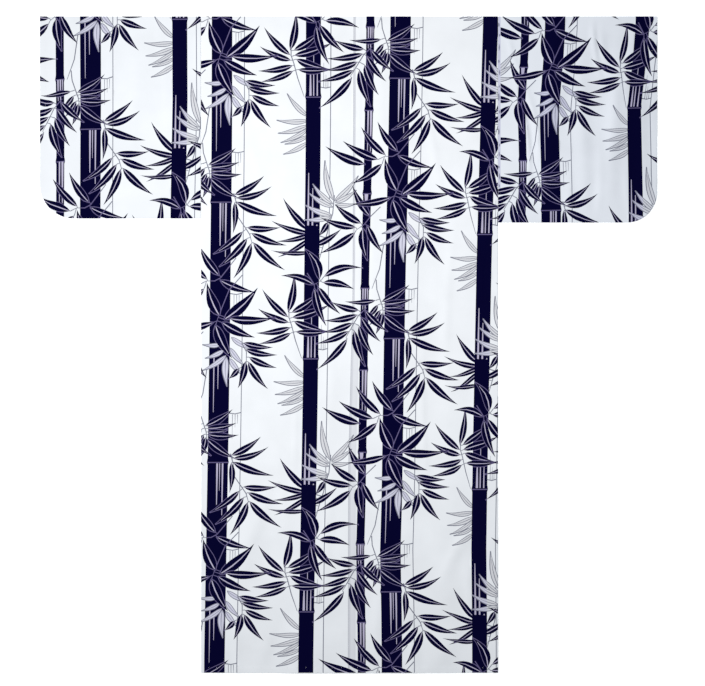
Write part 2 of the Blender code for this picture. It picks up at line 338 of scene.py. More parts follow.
brush = {
    "steps": 9,
    "fuller": 1.15,  # how much wider a dark leaf is drawn than its chart says
    "bow": 0.055,  # how far a leaf bends, as a share of its length
    "belly": 0.66,  # below 1 the widest place is nearer the base
    "point": 1.2,  # above 1 the tip is sharper
    "edge": 1.5,  # light edge round a leaf on dark ground
    "rib": 0.085,  # half the rib's width as a share of the charted one
    "ribShares": (0.03, 0.14, 0.3, 0.55, 0.84),  # the rib's points, as shares of the leaf's length
    "ribThins": 0.6,  # above 0 the rib narrows towards the tip
    "ribStart": 0.4,  # the rib's share of its full width at the leaf's base
    "ribGrows": 3,  # how fast it widens from there
    "outline": 2.2,
    "paleInset": 1.0,  # how much narrower a pale leaf's fill is than its chart says
    "paleRib": 0.95,
    "tipRun": 3,  # how far a pale leaf's outline runs on past its tip
    "stem": 2.2,
    "stemTip": 1.2,
    "stalkWidths": (1.4, 2.0),
    "stalkReach": (1, 34),  # a leaf gets a stalk where its stem is this far from it
}


def leafShape(base, tip, width, grow=0.0, bent=brush["bow"]):
    # both edges of a lance-shaped leaf that sags a little, from its base round its tip
    across, down = tip[0] - base[0], tip[1] - base[1]
    length = math.hypot(across, down)
    alongX, alongY = across / length, down / length
    bow = math.copysign(1, across) * bent * length
    left, right = [], []
    for step in range(brush["steps"] + 1):
        share = step / brush["steps"]
        reach = width / 2 * math.sin(math.pi * share ** brush["belly"]) ** brush["point"] + grow
        bend = bow * 4 * share * (1 - share)
        place = share * length + grow * (2 * share - 1)
        middleX, middleY = base[0] + alongX * place, base[1] + alongY * place
        for edge, sideways in ((left, bend + reach), (right, bend - reach)):
            edge.append((middleX - alongY * sideways, middleY + alongX * sideways))
    return left + right[::-1] if grow else left[:-1] + right[:0:-1]


def leafRib(base, tip, width, bent=brush["bow"]):
    # the light line along a leaf, widest near its base
    across, down = tip[0] - base[0], tip[1] - base[1]
    bow = bent * math.copysign(1, across)
    points, widths = [], []
    for share in brush["ribShares"]:
        bend = bow * 4 * share * (1 - share)
        points.append((base[0] + across * share - down * bend, base[1] + down * share + across * bend))
        thinned = width * brush["rib"] * 2 * (1 - share) ** brush["ribThins"]
        widths.append(thinned * min(1, brush["ribStart"] + brush["ribGrows"] * share))
    return ribbon(points, widths)


def ribbon(points, widths):
    # a band along a few points: one width, or one for each point
    if not isinstance(widths, (list, tuple)):
        widths = [widths] * len(points)
    left, right = [], []
    last = len(points) - 1
    for index, (point, width) in enumerate(zip(points, widths)):
        before, after = points[max(index - 1, 0)], points[min(index + 1, last)]
        length = math.dist(before, after)
        sideX = (before[1] - after[1]) / length * width / 2
        sideY = (after[0] - before[0]) / length * width / 2
        left.append((point[0] + sideX, point[1] + sideY))
        right.append((point[0] - sideX, point[1] - sideY))
    return left + right[::-1]


def bar(left, right, top, bottom):
    return [(left, top), (right, top), (right, bottom), (left, bottom)]


def stalkShapes():
    shapes = []
    poleRise, lineRise, ringWidth = bamboo["ring"]
    for place, poleEdge, way, nodes in bamboo["stalks"]:
        for node in nodes:
            ring = [(poleEdge, node - poleRise), ((poleEdge + place) / 2, node), (place, node - lineRise)]
            shapes.append(("line", ribbon(ring, ringWidth)))
            for share, length in bamboo["ticks"]:
                tick = poleEdge + (place - poleEdge) * share
                ends = [(tick, node + way), (tick, node + way * length)]
                shapes.append(("line", ribbon(ends, bamboo["tickWidths"])))
    return shapes


def poleShapes():
    shapes = []
    height, flare, (above, below) = bamboo["nodeHeight"], bamboo["nodeFlare"], bamboo["nodeReach"]
    for pole, (left, right) in bamboo["poles"].items():
        for node in bamboo["nodes"][pole]:
            flared = [(left, node - above), (left - flare, node), (left, node + below),
                      (right, node + below), (right + flare, node), (right, node - above)]
            shapes.append(("navy", flared))
            shapes.append(("edge", bar(left - flare, right + flare, node, node + height)))
        for middle, width, start, end in bamboo["streaks"][pole]:
            line = [(middle, start), (middle, start + (end - start) * bamboo["streakBend"]), (middle, end)]
            shapes.append(("rib", ribbon(line, [width * share for share in bamboo["streakWidths"]])))
    return shapes


def paleLeaf(base, tip, width, fill):
    share = 1 + brush["tipRun"] / math.dist(base, tip)
    end = (base[0] + (tip[0] - base[0]) * share, base[1] + (tip[1] - base[1]) * share)
    return [("paleEdge", leafShape(base, end, width, brush["outline"] / 2)),
            (fill, leafShape(base, tip, width - brush["paleInset"])),
            ("vein", leafRib(base, tip, width * brush["paleRib"]))]


def nearestOn(stem, point):
    # how far a stem is from a point, and its nearest place
    best = None
    for start, end in zip(stem, stem[1:]):
        along = Vector(end) - Vector(start)
        share = min(max((Vector(point) - Vector(start)).dot(along) / along.length_squared, 0), 1)
        place = Vector(start) + along * share
        away = (place - Vector(point)).length
        if best is None or away < best[0]:
            best = (away, tuple(place))
    return best


def darkSpray(stem, leaves):
    shapes = [("stem", ribbon(stem, [brush["stem"]] * (len(stem) - 1) + [brush["stemTip"]]))]
    for leaf in leaves:
        base = leaf[:2]
        away, place = nearestOn(stem, base)
        if brush["stalkReach"][0] < away < brush["stalkReach"][1]:
            shapes.append(("stem", ribbon([place, base], brush["stalkWidths"])))
    for baseX, baseY, tipX, tipY, width, *own in leaves:
        base, tip = (baseX, baseY), (tipX, tipY)
        bent = own[0] if own else brush["bow"]
        full = width * brush["fuller"]
        shapes += [("halo", leafShape(base, tip, full, brush["edge"], bent)),
                   ("navy", leafShape(base, tip, full, 0.0, bent)), ("rib", leafRib(base, tip, width, bent))]
    return shapes


def repeatLayers():
    # the shapes of one repeat, in the order in which they cover each other
    pale = {}
    for name, (fill, leaves) in paleSprays.items():
        pale[name] = [shape for leaf in leaves for shape in paleLeaf(leaf[:2], leaf[2:4], leaf[4], fill)]
    behindPoles = stalkShapes() + pale["behindPole"] + darkSpray(*sprays["poleEdge"])
    onPoles = poleShapes() + pale["besidePole"] + pale["overPole"]
    leaves = [shape for name, spray in sprays.items() if name != "poleEdge" for shape in darkSpray(*spray)]
    return behindPoles, onPoles, leaves


def driftAt(drift, xs, downs):
    # how far a panel's print strays at some places, to the right and up
    places = np.array([place for place, _, _ in drift["columns"]])
    left = np.clip(np.searchsorted(places, xs) - 1, 0, len(places) - 2)
    share = np.clip((xs - places[left]) / (places[left + 1] - places[left]), 0, 1)
    spot = np.arange(len(xs))
    for part in (1, 2):
        strays = np.array([np.interp(downs, drift["downs"], column[part]) for column in drift["columns"]])
        yield strays[left, spot] * (1 - share) + strays[left + 1, spot] * share


def printOn(where, bounds, underside=False):
    # lays the repeat on one sheet: where says how its print stands, bounds is the sheet's own box
    lowX, lowY, highX, highY = bounds
    shoulder = robe["shoulder"]
    behindPoles, onPoles, leaves = repeatLayers()
    top = 2 * shoulder - lowY if underside else highY
    bottom = 2 * shoulder - highY if underside else lowY
    placed = []

    def lay(tone, points):
        # places one shape, strayed as its panel is
        xs, ys = np.array(points).T
        if "drift" in where:
            right, up = driftAt(where["drift"], xs, shoulder - ys)
            xs, ys = xs + right, ys + up
        if underside:
            ys = 2 * shoulder - ys
        if xs.min() < highX and xs.max() > lowX and ys.min() < highY and ys.max() > lowY:
            placed.append((tone, list(zip(xs.tolist(), ys.tolist()))))

    (acrossStep, upStep), down = bamboo["across"], bamboo["down"]
    eachWay, eachDown = (range(-count, count + 1) for count in bamboo["repeats"])
    columns = [(where["pole"] + acrossStep * i, where["star"] + upStep * i) for i in eachWay]
    spots = [(column, star + down * j) for column, star in columns for j in eachDown]
    spots = [(column, row) for column, row in spots if bottom - down < row < top + down]

    def layRepeats(shapes):
        for column, row in spots:
            for tone, points in shapes:
                lay(tone, [(column + u, row - v) for u, v in points])

    runOn, pitch = bamboo["poleRun"]
    lengths = np.linspace(top + runOn, bottom - runOn, max(2, round((top - bottom) / pitch)))
    layRepeats(behindPoles)
    for column, _ in columns:
        for stalk in bamboo["stalks"]:
            lay("line", ribbon([(column + stalk[0], y) for y in lengths], bamboo["stalkLine"]))
        for left, right in bamboo["poles"].values():
            lay("navy", ribbon([(column + (left + right) / 2, y) for y in lengths], right - left))
    layRepeats(onPoles)
    layRepeats(leaves)
    return placed


# How far the print strays on each panel, in columns from left to right: the column's place,
# then how far it strays to the right and up at each of the places down from the shoulder
leftStray = (1, 0.8, 0.6, 0, -2.4, -4.3, -7.9, -10.1, -12, -14.2, -16)
rightStray = (11, 9.8, 7.2, 5.4, 0.1, -3.2, -6.9, -8.9, -12, -9.4, -8.3)
drifts = {
    "back": {
        "downs": (0, 100, 230, 320, 530, 710, 960, 1090, 1200, 1330, 1450),
        "columns": (
            (-283, leftStray, (0, 0, 0, 0, 0, 0, 3, 7, 15, 21, 28)),
            (-62, leftStray, (0, 0, 0, 0.5, 0.5, 0, 5, 9, 13, 21, 27)),
            (25, rightStray, (-1, -2, -3, -1, 0, 1, 7, 10.5, 15, 23, 28)),
            (240, rightStray, (-2, -3, -3, -1.5, 0, 3, 8, 13.5, 19, 23, 28)),
            (285, (8, 4.9, 1.8, -0.7, -6.4, -9.9, -14.7, -16.8, -18.3, -16.8, -16.4),
             (-4, -4, -4, -2, 0, 7, 13, 16, 19, 22, 25)),
        ),
    },
    "leftSleeve": {
        "downs": (0, 120, 200, 250, 300, 446),
        "columns": (
            (-672, (-0.5, 0, 1, 1.5, 1.2, 0.5), (-3, -6.5, -10, -8, -6, -4)),
            (-640, (-0.5, 0, 1, 1.5, 1.2, 0.5), (0, -2, -2.5, -1, 0, 0)),
            (-560, (1, 1.8, 1.7, 1.4, 1, 0.5), (0, 0, 0, 0, 0, 0)),
            (-480, (0, 0, 0, 0, 0, 0), (9, 9, 6, 5, 5, 3)),
            (-385, (-4, -3.4, -3, -4, -5, -8), (11, 11, 11, 9, 10, 7)),
        ),
    },
    "rightSleeve": {
        "downs": (0, 20, 94, 197, 271, 345, 430),
        "columns": (
            (385, (5, 5, 2.5, -4, -1, 0.5, -3), (-6, -6, -4.5, -3, -2, 0, 0)),
            (450, (5, 4, 0, -9.2, -9, -6.4, -3.8), (-8, -7, -4.5, -1, -1, -1.5, 2)),
            (600, (2.3, 1.5, -3.5, -13, -16.4, -14, -16), (-5, -5, -8, -6, 3, 8, 4)),
            (650, (-4, -6, -13.4, -25, -23.5, -22, -20), (-5, -5, -9, -4, 3, 6, 5)),
        ),
    },
}


# Where the print stands on each length of cloth: a wide pole and a star's middle
prints = {
    "body": {"pole": 101.7, "star": 332.7, "drift": drifts["back"]},
    "bodyLeft": {"pole": -282.9, "star": 635.5, "drift": drifts["back"]},
    "leftSleeve": {"pole": -573.6, "star": 796.8, "drift": drifts["leftSleeve"]},
    "rightSleeve": {"pole": 449.8, "star": 615.6, "drift": drifts["rightSleeve"]},
    "leftOverlap": {"pole": 10, "star": 90},
    "rightOverlap": {"pole": -20, "star": -160},
    "collar": {"pole": 40, "star": 210},
}

# Where the centre back seam runs, from the hem up
centreSeam = ((robe["hem"], -2.0), (-270, -1.3), (-60, 4.0), (120, 8.5), (robe["shoulder"], 10.5))

# Its ditch, darkened with painted shade, and the strip where the allowance shows through: width, from, to
seamShade = {
    "start": 1.8, "runOn": 5, "points": 24,
    "ditch": (5.4, robe["hem"], robe["shoulder"]), "under": (17, robe["hem"], 40),
}


def seamShapes():
    seamYs, seamXs = zip(*centreSeam)
    shapes = []
    # the allowance's strip, then the painted shade along the seam's ditch
    for tone in ("under", "ditch"):
        width, start, end = seamShade[tone]
        ys = np.linspace(start - seamShade["runOn"], end + seamShade["runOn"], seamShade["points"])
        middles = np.interp(ys, seamYs, seamXs) + width / 2 - seamShade["start"]
        shapes.append((tone, ribbon(list(zip(middles, ys)), width)))
    return shapes


# The places up the robe between which the layers under the back step up, and down again
steps = {"low": (-60, 20), "high": (435, 515)}
layers = {
    "floor": 0.5, "second": 1.85,
    # from the hem up: place, the right front's height, the back's height
    "levels": (
        (robe["hem"], 1.85, 3.2), (steps["low"][0], 1.85, 3.2), (steps["low"][1], 2.45, 4.4),
        (steps["high"][0], 2.45, 4.4), (steps["high"][1], 0.5, 2.45), (robe["shoulder"], 0.5, 2.45),
    ),
    # from the middle out: where the slopes down start, and where they end
    "plateau": 112, "frontSlopeEnd": 150, "backSlopeEnd": 180,
}


def smooth(value, start, end):
    share = np.clip((value - start) / (end - start), 0, 1)
    return share * share * (3 - 2 * share)


def levelAt(y, column):
    places, *heights = zip(*layers["levels"])
    return np.interp(y, places, heights[column])


def frontHeight(side, x, y):
    if side < 0:
        return np.full_like(x, layers["floor"])
    share = 1 - smooth(x, layers["plateau"], layers["frontSlopeEnd"])
    return layers["floor"] + share * (levelAt(y, 0) - layers["floor"])


def backHeight(x, y):
    share = 1 - smooth(np.abs(x), layers["plateau"], layers["backSlopeEnd"])
    return layers["second"] + share * (levelAt(y, 1) - layers["second"])


# Soft creases: across and down from the piece's inner upper corner, length, width, height, lean, bow, skew
creases = {
    "leftBack": (
        (150, 560, 330, 46, 1.8, -0.05, 0, 1), (235, 1130, 280, 40, 2.2, 0.07, 0, 1),
        (85, 1290, 200, 44, 1.6, 0.04, 0, 1), (60, 250, 160, 12, 1.0, 0.03, 4, 0.8),
        (205, 330, 120, 11, 1.2, -0.22, 6, 1.3), (285, 420, 90, 9, 1.1, -0.35, 5, 0.8),
        (262, 700, 170, 12, 1.3, 0.05, -6, 1.2), (120, 895, 135, 6, 1.1, 0.02, 3, 0.6),
        (205, 1120, 70, 17, 2.2, 0.35, 4, 1.5), (150, 1040, 90, 9, 0.9, -0.12, 3, 1.2),
        (40, 760, 190, 14, 0.9, 0.02, 4, 1), (300, 1230, 130, 10, 1.2, -0.06, -4, 0.8),
        (182, 1385, 60, 16, 2.0, 0.25, 3, 1.4), (110, 1370, 110, 12, 1.3, 0.05, 3, 1.2),
        (248, 1400, 80, 9, 1.1, -0.03, 2, 0.8), (52, 1180, 120, 9, 1.0, 0.05, -3, 1.2),
    ),
    "rightBack": (
        (130, 800, 300, 44, 2.0, 0.06, 0, 1), (260, 430, 220, 38, 2.4, -0.08, 0, 1),
        (210, 1230, 260, 42, 2.0, -0.04, 0, 1), (70, 180, 140, 12, 1.0, -0.04, 4, 1.2),
        (180, 260, 130, 11, 1.2, 0.2, -5, 0.8), (292, 470, 95, 10, 1.3, 0.33, -6, 1.2),
        (215, 640, 160, 12, 1.3, -0.05, 5, 0.8), (55, 560, 170, 13, 0.9, 0.03, -4, 1),
        (162, 880, 150, 8, 1.2, 0.03, 5, 0.7), (285, 880, 150, 11, 1.1, 0.04, 5, 1.3),
        (90, 1080, 150, 12, 1.2, -0.06, -5, 0.8), (232, 1185, 55, 14, 2.1, -0.5, 3, 1.3),
        (265, 1290, 110, 11, 1.2, 0.08, 4, 0.8), (60, 1330, 110, 11, 1.0, -0.04, 3, 1),
        (140, 1400, 90, 10, 1.4, 0.03, -3, 1.3), (205, 1405, 40, 22, 1.7, -0.6, 0, 1.2),
    ),
    "leftSleeve": (
        (100, 388, 22, 70, 2.6, 0.2, 0, 1.3), (225, 405, 20, 60, 1.6, 0, 0, 0.8),
        (130, 34, 20, 85, 1.9, 0, 0, 1.2), (315, 190, 210, 20, 2.0, -0.06, 0, 1),
        (45, 230, 170, 24, 1.6, 0.05, 0, 1), (200, 130, 120, 11, 1.1, 0.1, 4, 0.8),
        (250, 320, 90, 10, 1.2, -0.18, 3, 1.2), (150, 250, 140, 12, 0.9, 0.05, -4, 1),
        (80, 120, 80, 9, 1.0, -0.1, 3, 0.8), (290, 80, 70, 9, 1.0, 0.2, 3, 1.2),
    ),
    "rightSleeve": (
        (64, 262, 80, 5, 3.0, 0.12, -5, 0.7), (84, 250, 70, 6, 2.7, 0.15, -6, 1.4),
        (28, 72, 34, 7, 1.8, 0.25, 3, 0.8), (120, 150, 150, 16, 3.4, -0.08, 0, 1.2),
        (186, 270, 160, 20, 2.8, 0.04, 0, 0.8), (256, 230, 170, 17, 3.6, -0.06, 0, 1.2),
        (318, 280, 140, 15, 2.4, 0.05, 0, 1), (212, 58, 58, 7, 2.4, 0.1, 4, 0.7),
        (232, 80, 50, 6, 1.5, 0.14, 3, 1.3), (150, 96, 80, 10, 1.7, -0.08, -4, 1.2),
        (290, 110, 90, 9, 1.8, -0.12, 3, 1.2), (100, 375, 70, 9, 1.5, -0.05, 3, 0.9),
        (158, 390, 60, 10, 1.3, 0.06, 2, 1), (225, 370, 75, 9, 1.6, -0.04, -3, 1.2),
        (285, 385, 55, 9, 1.3, 0.1, 2, 0.8),
    ),
    "pressed": (
        (60, 300, 240, 16, 0.12, 0.03, 3, 1), (150, 700, 300, 18, 0.14, -0.04, -4, 0.8),
        (210, 1150, 260, 15, 0.12, 0.05, 4, 1.2), (110, 1180, 200, 14, 0.10, -0.06, 3, 1),
        (230, 380, 180, 15, 0.12, -0.05, 3, 0.9),
    ),
}
ripple = {
    "height": 0.07,
    # turns across and down, in radians for each mm, and where they start
    "waves": ((0.061, 0.017, 0.3), (-0.023, 0.049, 1.7), (0.037, -0.041, 4.1), (0.093, 0.071, 2.2)),
}
creaseFade = 36  # from an edge to where the creases have their full height


def relief(name, across, down, edge):
    lift = np.zeros_like(across)
    for place, drop, length, width, height, lean, bow, skew in creases[name]:
        along = (down - drop) / length
        beside = across - place - lean * (down - drop) - bow * along**2
        spread = width * np.where(beside > 0, skew, 1)
        lift += height * np.exp(-((beside / spread) ** 2) - along**2)
    for waveX, waveY, phase in ripple["waves"]:
        lift += ripple["height"] * (1 + np.sin(waveX * across + waveY * down + phase)) / 2
    return lift * np.clip(edge / creaseFade, 0, 1)


def stations(marks, pitch):
    # every mark, with even steps of about the pitch between them
    places = [marks[0]]
    for start, end in zip(marks, marks[1:]):
        count = max(1, round(abs(end - start) / pitch))
        places += [start + (end - start) * step / count for step in range(1, count + 1)]
    return places


def strips(low, high, count):
    # where a long sheet is split for the bake's map
    return [low + (high - low) / count * part for part in range(1, count)]


touch = 0.02  # places that are nearer than this are the same


def near(value, target):
    return np.abs(value - target) < touch


def nearest(*distances):
    return np.minimum.reduce(distances)


def turned(points):
    # the points, anticlockwise
    doubled = sum(a[0] * b[1] - b[0] * a[1] for a, b in zip(points, points[1:] + points[:1]))
    return points if doubled > 0 else points[::-1]


def inkOf(ids, shapes):
    # the ink that shows where these shapes lie over each other
    tone = "cloth"
    for index in sorted(ids):
        if index == 0:
            continue
        new = shapes[index - 1][0]
        onDark = tone in ("navy", "edge", "rib")
        onMist = tone in ("mist", "shade")
        tone = {
            "halo": "edge" if onDark else tone,
            "stem": "edge" if onDark else "line",
            "line": tone if onDark else "line",
            "paleEdge": "shade" if onDark or onMist else "line",
            "pale": "mist" if onMist else "veil",
            "vein": "shade" if onMist else "line",
        }.get(new, new)
    return tones.index(tone)


def openEdges(triangles):
    # edges that only one triangle has, each with its triangle
    edges = np.concatenate([triangles[:, [0, 1]], triangles[:, [1, 2]], triangles[:, [2, 0]]])
    owners = np.tile(np.arange(len(triangles)), 3)
    _, index, counts = np.unique(np.sort(edges, axis=1), axis=0, return_inverse=True, return_counts=True)
    single = counts[index.ravel()] == 1
    return edges[single], owners[single]


def outwardOf(flat, edges):
    along = flat[edges[:, 1]] - flat[edges[:, 0]]
    return np.column_stack([along[:, 1], -along[:, 0]]) / np.linalg.norm(along, axis=1)[:, None]


def cutSheet(sheet):
    # cuts the outline with the print in it, and gives each triangle its ink
    points, faces, edges = [], [], []
    for shape in [sheet["outline"]] + [shape for _, shape in sheet["shapes"]]:
        faces.append(list(range(len(points), len(points) + len(shape))))
        points += turned(list(shape))
    xs = [x for x, _ in sheet["outline"]]
    for split in sheet["splits"]:
        edges.append((len(points), len(points) + 1))
        points += [(min(xs), split), (max(xs), split)]
    inside = sheet.get("inside", lambda x, y: True)
    points += [(x, y) for x in sheet["columns"] for y in sheet["rows"] if inside(x, y)]
    # 1 keeps the triangles inside a shape, and True says which shapes each came from
    made = delaunay_2d_cdt([Vector(point) for point in points], edges, faces, 1, touch / 2, True)
    kept = [(face, ids) for face, ids in zip(made[2], made[5]) if 0 in ids]
    flat = np.array([(point.x, point.y) for point in made[0]])
    ink = np.array([inkOf(ids, sheet["shapes"]) for _, ids in kept])
    used, triangles = np.unique([face for face, _ in kept], return_inverse=True)
    flat, triangles = flat[used], triangles.reshape(-1, 3)
    strip = np.searchsorted(sheet["splits"], flat[triangles].mean(axis=1)[:, 1])
    return flat, triangles, ink, strip


def turnEdges(turn, flat, solid, triangles, ink, strip):
    # rolls the edges that the test picks by so many degrees, down or up to the end height
    degrees, endAt, test = turn
    edges, owners = openEdges(triangles)
    picked = test(*flat[edges].mean(axis=1).T)
    edges, owners = edges[picked], owners[picked]
    used, local = np.unique(edges, return_inverse=True)
    local = local.reshape(-1, 2)
    outward = np.zeros((len(used), 2))
    for column in (0, 1):
        np.add.at(outward, local[:, column], outwardOf(flat, edges))
    outward /= np.linalg.norm(outward, axis=1)[:, None]
    base, height = flat[used], solid[used, 2]
    climb = endAt(*base.T) - height
    full, count = math.radians(degrees), robe["foldSteps"]
    previous = used
    for step in range(1, count + 1):
        angle = full * step / count
        ring = len(flat) + np.arange(len(used))
        place = base + outward * robe["reach"] * math.sin(angle)
        level = height + climb * (1 - math.cos(angle)) / (1 - math.cos(full))
        flat = np.concatenate([flat, base + outward * robe["reach"] * angle])
        solid = np.concatenate([solid, np.column_stack([place, level])])
        first, second = previous[local].T
        firstOut, secondOut = ring[local].T
        added = [np.column_stack([second, first, firstOut]), np.column_stack([second, firstOut, secondOut])]
        triangles = np.concatenate([triangles] + added)
        ink, strip = (np.concatenate([values, values[owners], values[owners]]) for values in (ink, strip))
        previous = ring
    return flat, solid, triangles, ink, strip


def makeSheet(sheet):
    flat, *rest = cutSheet(sheet)
    parts = (flat, sheet["place"](flat), *rest)
    for turn in sheet.get("turns", ()):
        parts = turnEdges(turn, *parts)
    flat, solid, triangles, ink, strip = parts
    return flat, solid, triangles[:, ::sheet["facing"]], ink, strip


# The bake's map
mapRoom = {
    "margin": 5.0,  # round an island
    "rimStep": 1.5,  # how far the rim lies outside its sheet
    "tries": 40,  # at the width of the shelves
    "slack": 0.01,
    "perSheet": 10,  # more numbers than a sheet has islands
}


def packIslands(sizes):
    # shelves of islands in a square that is as small as a few tries make it;
    # returns the places and the square's side
    order = sorted(range(len(sizes)), key=lambda index: -sizes[index][1])
    widths = [width for width, _ in sizes]
    best = None
    for tries in range(mapRoom["tries"] + 1):
        limit = max(widths) + (sum(widths) - max(widths)) * tries / mapRoom["tries"]
        places, x, y, shelf, right = {}, 0, 0, 0, 0
        for index in order:
            width, height = sizes[index]
            if x + width > limit + mapRoom["slack"]:
                x, y, shelf = 0, y + shelf, 0
            places[index] = (x, y)
            x, shelf = x + width, max(shelf, height)
            right = max(right, x)
        if best is None or max(right, y + shelf) < best[1]:
            best = (places, max(right, y + shelf))
    return best


def layMap(flat, groups, scales):
    # for each group of faces its corner, its place on the bake's map and its scale; and the map's side
    corners = [(flat[members].min(axis=(0, 1)), flat[members].max(axis=(0, 1))) for members in groups]
    sizes = [tuple((high - low) * scale + 2 * mapRoom["margin"])
             for (low, high), scale in zip(corners, scales)]
    places, across = packIslands(sizes)
    return [(corners[i][0], places[i], scale) for i, scale in enumerate(scales)], across


def addObject(name, data):
    made = bpy.data.objects.new(name, data)
    bpy.context.scene.collection.objects.link(made)
    return made


def sewPiece(name, node, sheets, materials, thickness=robe["cloth"], innerScale=0.5):
    # joins the sheets, gives them their thickness to both sides and closes the rim
    offset, parts = 0, []
    for number, (flat, solid, triangles, ink, strip) in enumerate(map(makeSheet, sheets)):
        parts.append((flat, solid, triangles + offset, ink, strip + number * mapRoom["perSheet"]))
        offset += len(flat)
    flat, solid, triangles, ink, island = map(np.concatenate, zip(*parts))

    corner = solid[triangles]
    faceNormal = np.cross(corner[:, 1] - corner[:, 0], corner[:, 2] - corner[:, 0])
    normal = np.zeros_like(solid)
    for column in range(3):
        np.add.at(normal, triangles[:, column], faceNormal)
    normal /= np.maximum(np.linalg.norm(normal, axis=1), robe["leastLength"])[:, None]
    count, total = len(solid), len(triangles)
    vertices = np.concatenate([solid + normal * thickness / 2, solid - normal * thickness / 2]) * mm

    edges, owners = openEdges(triangles)
    a, b = edges.T
    rim = np.concatenate([np.column_stack([b, a, a + count]), np.column_stack([b, a + count, b + count])])
    faces = np.concatenate([triangles, triangles[:, ::-1] + count, rim])
    inks = np.concatenate([ink, ink, ink[owners], ink[owners]])
    slots = np.repeat([0, 1, 0], [total, total, 2 * len(owners)]).astype(np.int32)

    # the bake's map: the right side of the cloth large, its reverse smaller,
    # and the rim just outside its edge
    numbers = np.unique(island)
    groups = [triangles[island == number] for number in numbers] * 2
    spots, across = layMap(flat, groups, [1.0] * len(numbers) + [innerScale] * len(numbers))

    def mapped(places, spot):
        low, at, scale = spot
        return ((places - low) * scale + mapRoom["margin"] + np.array(at)) / across

    outward = outwardOf(flat, edges)
    outward *= mapRoom["rimStep"]
    outward[np.sum((flat[a] - flat[triangles[owners]].mean(axis=1)) * outward, axis=1) < 0] *= -1
    outA, outB = flat[a] + outward, flat[b] + outward
    rimCorners = ([flat[b], flat[a], outA], [flat[b], outA, outB])
    rimUV = np.concatenate([np.stack(corners, axis=1) for corners in rimCorners])
    rimIsland = np.tile(island[owners], 2)
    uv = np.zeros((len(faces), 3, 2))
    for number, outer, inner in zip(numbers, spots, spots[len(numbers):]):
        chosen = np.nonzero(island == number)[0]
        uv[chosen] = mapped(flat[triangles[chosen]], outer)
        uv[chosen + total] = mapped(flat[triangles[chosen][:, ::-1]], inner)
        chosen = np.nonzero(rimIsland == number)[0]
        uv[chosen + 2 * total] = mapped(rimUV[chosen], outer)

    mesh = bpy.data.meshes.new(name)
    mesh.from_pydata(vertices.tolist(), [], faces.tolist())
    mesh.attributes.new("tone", "FLOAT", "FACE").data.foreach_set("value", inks.astype(np.float32))
    spread = np.tile(np.column_stack([flat, np.zeros(count)]), (2, 1)).astype(np.float32)
    mesh.attributes.new("cloth", "FLOAT_VECTOR", "POINT").data.foreach_set("vector", spread.ravel())
    mesh.uv_layers.new(name="OFBake").uv.foreach_set("vector", uv.astype(np.float32).ravel())
    for material in materials:
        mesh.materials.append(material)
    mesh.polygons.foreach_set("material_index", slots)
    mesh.shade_smooth()
    mesh.set_sharp_from_angle(angle=math.radians(robe["sharpAngle"]))
    mesh.update()
    piece = addObject(name, mesh)
    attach(piece, "root")
    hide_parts(node)
    print(name, len(faces), "triangles, map", round(across), "mm")
    return piece


def belowBack(x, y):
    return backHeight(x, y) - robe["reach"]


def seamLevel(x, y):
    return np.full_like(x, robe["seamHeight"])


def clothSheet(outline, where, place, facing=1, **more):
    # what every sheet has; one that faces down has its print from below
    xs, ys = zip(*outline)
    shapes = printOn(prints[where], (min(xs), min(ys), max(xs), max(ys)), underside=facing < 0)
    return {"outline": outline, "shapes": shapes, "place": place, "facing": facing, "splits": [], **more}


# The cells of a body panel: width and length, columns past the middle, where the seam leans, and
# from where to where and how close they are over the seam's allowance
bodyMesh = {
    "back": (5.5, 6.5), "front": (14, 16), "pastMiddle": (-9, -3.5), "allowance": ([9, 30], 3),
    "seamClear": 2.5,  # no cell's corner is this near to the leaning seam
    "allowanceFade": (3, 4),
    "innerTurn": 0.6,  # how far a front's inner edge turns up, as a share of its reach
}


